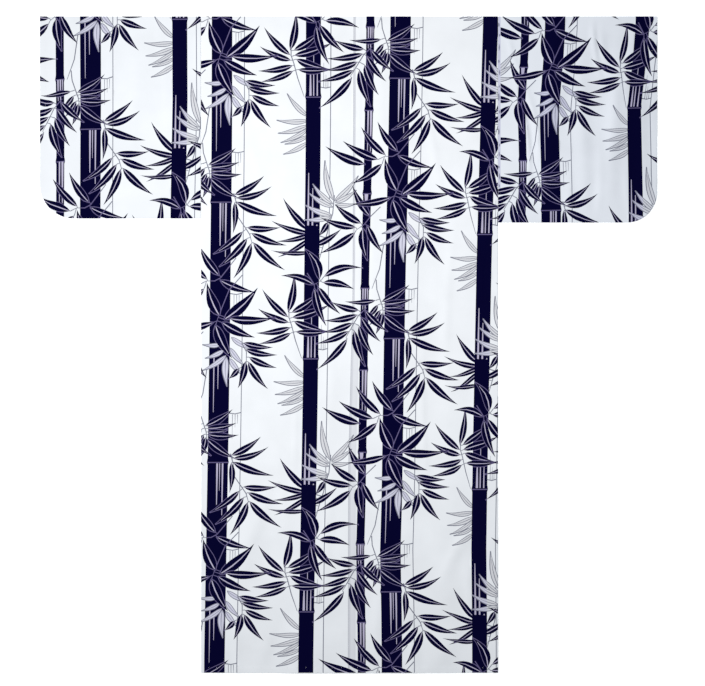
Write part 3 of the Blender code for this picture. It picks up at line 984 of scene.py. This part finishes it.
def backSheet(side, where, creaseName):
    outer, hem, top = robe["halfBack"] - robe["inset"], robe["hem"], robe["topY"]
    hemLine, frontSeam = hem + robe["hemDepth"], robe["frontSeam"]
    hemRun = (hemLine - robe["hemStep"], hemLine + robe["hemStep"])
    sideBand, topBand = outer - robe["edgeBand"], top - robe["edgeBand"]
    seamYs, seamXs = zip(*centreSeam)

    def innerAt(y):
        return side * np.interp(y, seamYs, seamXs) + robe["seamGap"] / 2 + robe["seamInset"]

    outline = [(side * outer, hem), (side * outer, top)]
    outline += [(side * innerAt(y), y) for y in (top, *seamYs[-2:0:-1], hem)]
    columns = stations([0, frontSeam, sideBand, outer], bodyMesh["back"][0])
    columns = [side * x for x in (*bodyMesh["pastMiddle"], *columns)]
    if side > 0:
        columns += stations(*bodyMesh["allowance"])
    marks = [hem, hemRun[0], hemLine, hemRun[1], 0, robe["armholeY"], topBand, top]
    rows = stations(marks, bodyMesh["back"][1])

    def place(flat):
        x, y = flat.T
        across = side * x
        away = across - innerAt(y)
        edge = nearest(away, outer - across, top - y, y - hem + creaseFade / 2)
        lift = relief(creaseName, across, robe["shoulder"] - y, edge)
        lift += robe["hemLift"] * (1 - smooth(y, *hemRun))
        if side > 0:
            before, after = bodyMesh["allowanceFade"]
            pressed = smooth(away, robe["allowance"] - before, robe["allowance"] + after)
            lift += robe["allowanceLift"] * (1 - pressed)
        return np.column_stack([x, y, backHeight(x, y) + lift])

    nearTop = top - touch
    turns = [
        (180, lambda x, y: frontHeight(side, x, y), lambda x, y: (y > nearTop) & (side * x > frontSeam)),
        (90, belowBack, lambda x, y: near(y, top) & (side * x < frontSeam)),
        (90, seamLevel, lambda x, y: near(side * x, outer) & (y < nearTop)),
        (90, belowBack, lambda x, y: near(side * x, innerAt(y)) & (y < nearTop)),
    ]
    sheet = clothSheet(outline, where, place, columns=columns, rows=rows, splits=[0.0], turns=turns)
    sheet["inside"] = lambda x, y: side * x > innerAt(y) + bodyMesh["seamClear"] or y in (hem, top)
    sheet["shapes"] = seamShapes() + sheet["shapes"]
    return sheet


def frontSheet(side, where):
    inner, outer = robe["frontSeam"] + robe["seamInset"], robe["halfBack"] - robe["inset"]
    hem, top = robe["hem"], robe["topY"]
    lowX, highX = sorted((side * inner, side * outer))
    columns = stations([inner, layers["plateau"], layers["frontSlopeEnd"], outer], bodyMesh["front"][0])

    def place(flat):
        x, y = flat.T
        across = np.abs(x) - inner
        edge = nearest(across, outer - np.abs(x), top - y, y - hem)
        lift = relief("pressed", across, robe["shoulder"] - y, edge)
        return np.column_stack([x, y, frontHeight(side, x, y) + lift])

    def endAt(x, y):
        atSide = np.abs(x) > (inner + outer) / 2
        turnedUp = frontHeight(side, x, y) + robe["reach"] * bodyMesh["innerTurn"]
        return np.where(atSide, robe["seamHeight"], turnedUp)

    def longEdge(x, y):
        return (near(np.abs(x), outer) | near(np.abs(x), inner)) & (y < top - touch) & (y > hem + touch)

    rows = stations([hem, *steps["low"], *steps["high"], top], bodyMesh["front"][1])
    return clothSheet(bar(lowX, highX, hem, top), where, place, -1, columns=[side * x for x in columns],
                      rows=rows, splits=strips(hem, top, 3), turns=[(90, endAt, longEdge)])


# Each sleeve is an upper and an under sheet, closed at the fold, all along the body's side,
# at the bottom and below the wrist opening
def sleeveCut(side, box, depth, corner):
    width = box[1][0] - box[0][0] - robe["sleeveTrim"]
    return {"side": side, "width": width, "depth": depth, "corner": corner}


sleeveCuts = {
    "left": sleeveCut(-1, leftSleeve, 446.5, 75),
    "right": sleeveCut(1, rightSleeve, 455.5, 67),
    "start": robe["halfBack"] + robe["seamGap"],
    "openStep": 6,  # the last of the wrist opening, where its edge slants
    "openFade": (-10, 30),  # from below the opening's end to above it, where the edge becomes free
    "cornerPoints": 16,
    "upperMesh": (4.5, 5.5),
    "underMesh": (11, 12),
}

# Painted shade along the right armhole's seam, as in a ditch: a strip of its width, and darker painted blots,
# down and length
armholeShade = {
    "width": 5.2,
    "blots": ((14, 10), (39, 6), (61, 15), (96, 7), (118, 12), (152, 6), (170, 17), (207, 8), (226, 5),
              (248, 14), (281, 7), (299, 11), (330, 6), (347, 14), (371, 7)),
    "places": (1.6, 2.8, 2.1),
    "bend": 0.4,
    "blotWidths": (1.0, 3.0, 0.8),
}


def armholeShadeShapes():
    left, top, places = sleeveCuts["start"], robe["shoulder"], armholeShade["places"]
    # a pale strip of painted seam shade, then darker painted blots in it
    shapes = [("mist", bar(left, left + armholeShade["width"], top - robe["armholeDepth"], top))]
    for index, (down, length) in enumerate(armholeShade["blots"]):
        x, y = left + places[index % len(places)], top - down
        line = [(x, y), (x + armholeShade["bend"], y - length / 2), (x, y - length)]
        shapes.append(("shade", ribbon(line, armholeShade["blotWidths"])))
    return shapes


def sleeveOutline(cut):
    # in across and down, from the armhole's upper corner
    inset, width, depth, corner = robe["inset"], cut["width"], cut["depth"], cut["corner"]
    radius, opening = corner - inset, robe["wristOpening"]
    arc = [(width - corner + radius * math.sin(turn), depth - corner + radius * math.cos(turn))
           for turn in np.linspace(0, math.pi / 2, sleeveCuts["cornerPoints"])]
    return ([(inset, inset), (inset, depth - inset)] + arc
            + [(width - inset, opening), (width, opening - sleeveCuts["openStep"]), (width, inset)])


def sleeveSheet(cut, where, creaseName, upper):
    side, start, shoulder = cut["side"], sleeveCuts["start"], robe["shoulder"]
    inset, width, depth = robe["inset"], cut["width"], cut["depth"]
    hemLine, opening = width - robe["hemDepth"], robe["wristOpening"]
    hemRun = (hemLine - robe["hemStep"], hemLine + robe["hemStep"])
    outline = [(side * (start + across), shoulder - down) for across, down in sleeveOutline(cut)]
    pitch = sleeveCuts["upperMesh" if upper else "underMesh"]
    edgeRow = inset + robe["edgeBand"]
    acrossMarks = [inset, edgeRow, hemRun[0], hemLine, hemRun[1], width]
    downMarks = [inset, edgeRow, opening, robe["armholeDepth"], depth - inset]
    columns = [side * (start + across) for across in stations(acrossMarks, pitch[0])]
    rows = [shoulder - down for down in stations(downMarks, pitch[1])]
    level = layers["second" if upper else "floor"]

    def place(flat):
        across, down = side * flat[:, 0] - start, shoulder - flat[:, 1]
        pastX, pastY = across - (width - cut["corner"]), down - (depth - cut["corner"])
        corner = np.hypot(np.maximum(pastX, 0), np.maximum(pastY, 0))
        fromFold = nearest(across - inset, down - inset)
        edge = nearest(fromFold, width - inset - across, depth - inset - down, cut["corner"] - inset - corner)
        wrist = smooth(opening - down, *sleeveCuts["openFade"])
        edge = np.maximum(edge, wrist * np.minimum(fromFold, creaseFade * 0.5))
        lift = relief(creaseName, across, down, np.maximum(edge, 0))
        if upper:
            lift += robe["hemLift"] * smooth(across, *hemRun) * wrist
        return np.column_stack([flat, level + lift])

    nearTop = shoulder - inset - touch

    def lowerEdge(x, y):
        across = side * x - start
        belowOpening = (y < shoulder - opening) & (across > inset + touch)
        return (y < nearTop) & (near(across, inset) | belowOpening)

    turns = [(90, seamLevel, lowerEdge)]
    if upper:
        turns.insert(0, (180, lambda x, y: np.full_like(x, layers["floor"]), lambda x, y: y > nearTop))
    sheet = clothSheet(outline, where, place, 1 if upper else -1, columns=columns, rows=rows, turns=turns)
    if upper and side > 0:
        # painted shade beside the right armhole's seam
        sheet["shapes"] += armholeShadeShapes()
    return sheet


overlap = {
    "hemWidth": 150, "topWidth": 140, "tipWidth": 3, "bow": 6, "start": 55, "tip": 495, "pitch": (12, 14),
    "outlinePitch": 30, "creaseShare": 0.7, "creaseReach": 20,
    "samples": 200,  # places where its width is taken for its area
}
collar = {
    "width": 55, "thickness": 1.3, "wall": 1.6, "outlinePitch": 18, "pitch": (9, 12),
    "neckDrop": 1.175,  # from the shoulder to the band
    "neckRise": 88,  # the last stretch of the band's leg before the neck
    "under": 0.5,  # from the middle of a front's wall to its underside
}


def overlapWidth(y):
    low, start, tip = robe["hem"], overlap["start"], overlap["tip"]
    if y <= start:
        return overlap["hemWidth"] + (overlap["topWidth"] - overlap["hemWidth"]) * ((y - low) / (start - low))
    if y > tip:
        return 0.0
    share = (y - start) / (tip - start)
    straight = overlap["topWidth"] + (overlap["tipWidth"] - overlap["topWidth"]) * share
    return straight + overlap["bow"] * math.sin(math.pi * share)


def overlapSheet(side, where):
    hem, tip, seam = robe["hem"], overlap["tip"], robe["frontSeam"]
    ys = stations([hem, overlap["start"], tip], overlap["outlinePitch"])
    inner = side * (seam - robe["seamGap"])
    outline = [(inner, tip), (inner, hem)] + [(side * (seam - overlapWidth(y)), y) for y in ys]
    xs = [x for x, _ in outline]
    lowX, highX = min(xs), max(xs)

    def place(flat):
        x, y = flat.T
        across = np.abs(x - inner)
        edge = np.clip(np.minimum(across, y - hem), 0, overlap["creaseReach"])
        lift = relief("pressed", across, robe["shoulder"] - y, edge) * overlap["creaseShare"]
        return np.column_stack([x, y, frontHeight(side, x, y) + lift])

    marks = [hem, *steps["low"], overlap["start"], steps["high"][0], tip]
    columns, rows = (stations(*pair) for pair in zip(([lowX, highX], marks), overlap["pitch"]))
    return clothSheet(outline, where, place, -1, columns=columns, rows=rows, splits=strips(hem, tip, 4))


def collarRows():
    # both edges of the band at stations along it, mitred where it turns at the neck, and the length so far
    neckY, pitch = robe["shoulder"] - collar["neckDrop"], collar["outlinePitch"]
    lowHigh, highHigh = steps["high"]
    marks = [overlap["start"], lowHigh, overlap["tip"], highHigh, neckY - collar["neckRise"], neckY]
    leg = [Vector((robe["frontSeam"] - robe["seamGap"] - overlapWidth(y), y)) for y in stations(marks, pitch)]
    path = [Vector((-point.x, point.y)) for point in leg]
    path += [Vector((x, neckY)) for x in stations([path[-1].x, -path[-1].x], pitch)[1:-1]]
    path += leg[::-1]
    rows, length = [], 0.0
    for index, point in enumerate(path):
        before = point - path[index - 1] if index else path[1] - point
        after = path[index + 1] - point if index + 1 < len(path) else before
        length += before.length if index else 0.0
        rightBefore, rightAfter = (Vector((way.y, -way.x)).normalized() for way in (before, after))
        across = (rightBefore + rightAfter).normalized()
        reach = collar["width"] / across.dot(rightAfter)
        farX, farY = point.x + across.x * reach, point.y + across.y * reach
        if point.y > neckY - collar["width"]:
            corner = leg[-1].x - collar["width"]
            farX, farY = min(max(farX, -corner), corner), neckY - collar["width"]
        rows.append((length, point.x, point.y, farX, farY))
    return np.array(rows)


def collarSheet():
    rows = collarRows()
    length = rows[-1, 0]

    def place(flat):
        share, along = flat[:, 0] / collar["width"], flat[:, 1]
        nearX, nearY, farX, farY = (np.interp(along, rows[:, 0], column) for column in rows.T[1:])
        x, y = nearX + (farX - nearX) * share, nearY + (farY - nearY) * share
        overLeft = frontHeight(1, np.zeros_like(x), y)
        under = np.where(along > length / 2, overLeft, layers["floor"]) - collar["under"]
        return np.column_stack([x, y, under + collar["wall"] / 2])

    marks = ([0, collar["width"]], [*rows[::3, 0], length])
    columns, rowPlaces = (stations(*pair) for pair in zip(marks, collar["pitch"]))
    return clothSheet(bar(0, collar["width"], 0, length), "collar", place, columns=columns, rows=rowPlaces,
                      splits=strips(0, length, 6), length=length)


# The hems' catch stitches, which only show as dots
stitches = {
    "length": 1.7, "thread": 0.24, "corners": 6,
    "colour": (206, 208, 218), "roughness": 0.8, "gloss": 0.1,
    # along a stitch as a share of half its length, and its girth there
    "rings": ((-1, 0.3), (-0.7, 1), (0.7, 1), (1, 0.3)),
    "pitch": 19,
    "waver": (1.6, 2.4),  # how far a stitch strays along its row, and the turn from each to the next
    "fromEdge": 0.6,
    "hemEnds": (8, 6),  # bare cloth at a row's ends
    "wristEnds": (4, 4),
}


def stitchSpots(start, end):
    count = int((end - start) / stitches["pitch"])
    reach, turn = stitches["waver"]
    return [start + (end - start) * (step + 0.5) / count + reach * math.sin(turn * step)
            for step in range(count)]


def addStitches(name, sheet, spots, direction):
    # one capsule for each stitch, half sunk in the cloth
    heights = sheet["place"](np.array(spots))[:, 2] + robe["cloth"] / 2
    corners, rings = stitches["corners"], stitches["rings"]
    half, thread = stitches["length"] / 2, stitches["thread"]
    along, beside = Vector((*direction, 0)), Vector((-direction[1], direction[0], 0))
    vertices, faces = [], []
    for (x, y), height in zip(spots, heights):
        centre = Vector((x, y, height))
        first = len(vertices)
        for place, girth in rings:
            for corner in range(corners):
                angle = 2 * math.pi * corner / corners
                offset = beside * math.cos(angle) + Vector((0, 0, math.sin(angle)))
                vertices.append((centre + along * (half * place) + offset * thread * girth) * mm)
        for ring in range(len(rings) - 1):
            low = first + ring * corners
            for corner in range(corners):
                a, b = low + corner, low + (corner + 1) % corners
                faces.append((a, b, b + corners, a + corners))
        faces.append(tuple(range(first, first + corners))[::-1])
        faces.append(tuple(range(len(vertices) - corners, len(vertices))))
    mesh = bpy.data.meshes.new(name)
    mesh.from_pydata(vertices, [], faces)
    mesh.materials.append(threadMaterial)
    mesh.update()
    row = addObject(name, mesh)
    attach(row, "root")
    return row


threadMaterial, _ = newMaterial("hemThread", {
    "Base Color": linear(stitches["colour"]), "Roughness": stitches["roughness"],
    "Specular IOR Level": stitches["gloss"],
})
printed = cottonMaterial("printedCotton")
printedReverse = cottonMaterial("printedCottonReverse", cotton["reversePaler"])
# Painted shade: each sleeve's cloth darker than the body's, the right one darker and bluer, as if less light
# falls there
sleeveShade = {"left": (0.955, 0.96, 0.968), "right": (0.918, 0.932, 0.965)}
both = [printed, printedReverse]

for (side, word), where in zip(sides, ("bodyLeft", "body")):
    sheet = backSheet(side, where, word + "Back")
    back = sewPiece(word + "_back", word + "_body_panel", [sheet], both, innerScale=0.16)
    hemY = robe["hem"] + robe["hemDepth"] - stitches["fromEdge"]
    before, after = stitches["hemEnds"]
    spots = [(side * x, hemY) for x in stitchSpots(before, robe["halfBack"] - after)]
    dots = addStitches(word + "_hem_stitches", sheet, spots, (0, 1))
    front = sewPiece(word + "_front", word + "_body_panel", [frontSheet(side, where)], both)
    print(word, "body done")

for side, word in sides:
    cut, where = sleeveCuts[word], word + "Sleeve"
    sheets = [sleeveSheet(cut, where, where, True), sleeveSheet(cut, where, "pressed", False)]
    # the sleeve's cotton, darkened with its painted shade
    materials = [cottonMaterial(where + "Cotton", 0.0, sleeveShade[word]), printedReverse]
    piece = sewPiece(word + "_sleeve_cloth", word + "_sleeve", sheets, materials)
    wristX = side * (sleeveCuts["start"] + cut["width"] - robe["hemDepth"] + stitches["fromEdge"])
    before, after = stitches["wristEnds"]
    spots = [(wristX, robe["shoulder"] - down) for down in stitchSpots(before, robe["wristOpening"] - after)]
    dots = addStitches(word + "_wrist_stitches", sheets[0], spots, (1, 0))
    cut["width"] * mm
    2 * cut["depth"] * mm
    print(word, "sleeve done")

for side, word in sides:
    sheet = overlapSheet(side, word + "Overlap")
    piece = sewPiece(word + "_overlap_cloth", word + "_overlap", [sheet], both)
    samples = overlap["samples"]
    cutArea = sum(overlapWidth(y) for y in np.linspace(robe["hem"], overlap["tip"], samples)) / samples
    cutArea *= (overlap["tip"] - robe["hem"]) * mm * mm
band = collarSheet()
piece = sewPiece("collar_band", "collar", [band], [printed] * 2, collar["thickness"], innerScale=1.0)
band["length"] * mm
print("overlaps and collar done")

# The studio, in metres and degrees
studio = {
    "floorSize": 26.0, "floorColour": (249, 250, 251), "floorRoughness": 0.9, "floorGlow": 0.3,
    "worldColour": (0.88, 0.94, 1.0), "worldStrength": 0.41,
    "keyPlace": (-0.32, 0.36, 1.55), "keyAim": (-0.16, 0.20, 0.0), "keyColour": (1.0, 0.985, 0.95),
    "keySize": 1.1, "keyPower": 23.6,
    "sideFrom": (-0.82, 0.34, 0.46), "sideStrength": 1.05, "sideSoftness": 14,
    "lens": 120, "sensor": 36, "viewWidth": 1.5583, "viewCentre": (0.0066, 0.0033), "farthest": 50,
}

floorMesh = bpy.data.meshes.new("floor")
grid = bmesh.new()
bmesh.ops.create_grid(grid, x_segments=1, y_segments=1, size=studio["floorSize"] / 2)
grid.to_mesh(floorMesh)
grid.free()
floorColour = linear(studio["floorColour"])
floorMaterial, _ = newMaterial("paleFloor", {
    "Base Color": floorColour, "Roughness": studio["floorRoughness"],
    "Emission Color": floorColour, "Emission Strength": studio["floorGlow"],
})
floorMesh.materials.append(floorMaterial)
floor = addObject("floor", floorMesh)

world = bpy.data.worlds.new("studio")
world.use_nodes = True
background = world.node_tree.nodes["Background"].inputs
background["Color"].default_value = (*studio["worldColour"], 1.0)
background["Strength"].default_value = studio["worldStrength"]
bpy.context.scene.world = world

lamp = addObject("key", bpy.data.lights.new("key", "AREA"))
lamp.data.size = studio["keySize"]
lamp.data.energy = studio["keyPower"]
lamp.data.color = studio["keyColour"]
lamp.visible_camera = False
lamp.location = studio["keyPlace"]
lamp.rotation_euler = (Vector(studio["keyAim"]) - lamp.location).to_track_quat("-Z", "Y").to_euler()

sun = addObject("side", bpy.data.lights.new("side", "SUN"))
sun.data.energy = studio["sideStrength"]
sun.data.angle = math.radians(studio["sideSoftness"])
sun.rotation_euler = Vector(studio["sideFrom"]).to_track_quat("Z", "Y").to_euler()

camera = addObject("camera", bpy.data.cameras.new("camera"))
camera.data.lens = studio["lens"]
camera.data.sensor_width = studio["sensor"]
camera.data.clip_end = studio["farthest"]
camera.location = (*studio["viewCentre"], studio["lens"] / studio["sensor"] * studio["viewWidth"])
bpy.context.scene.camera = camera
bpy.context.scene.view_settings.view_transform = "Standard"
print("studio done")
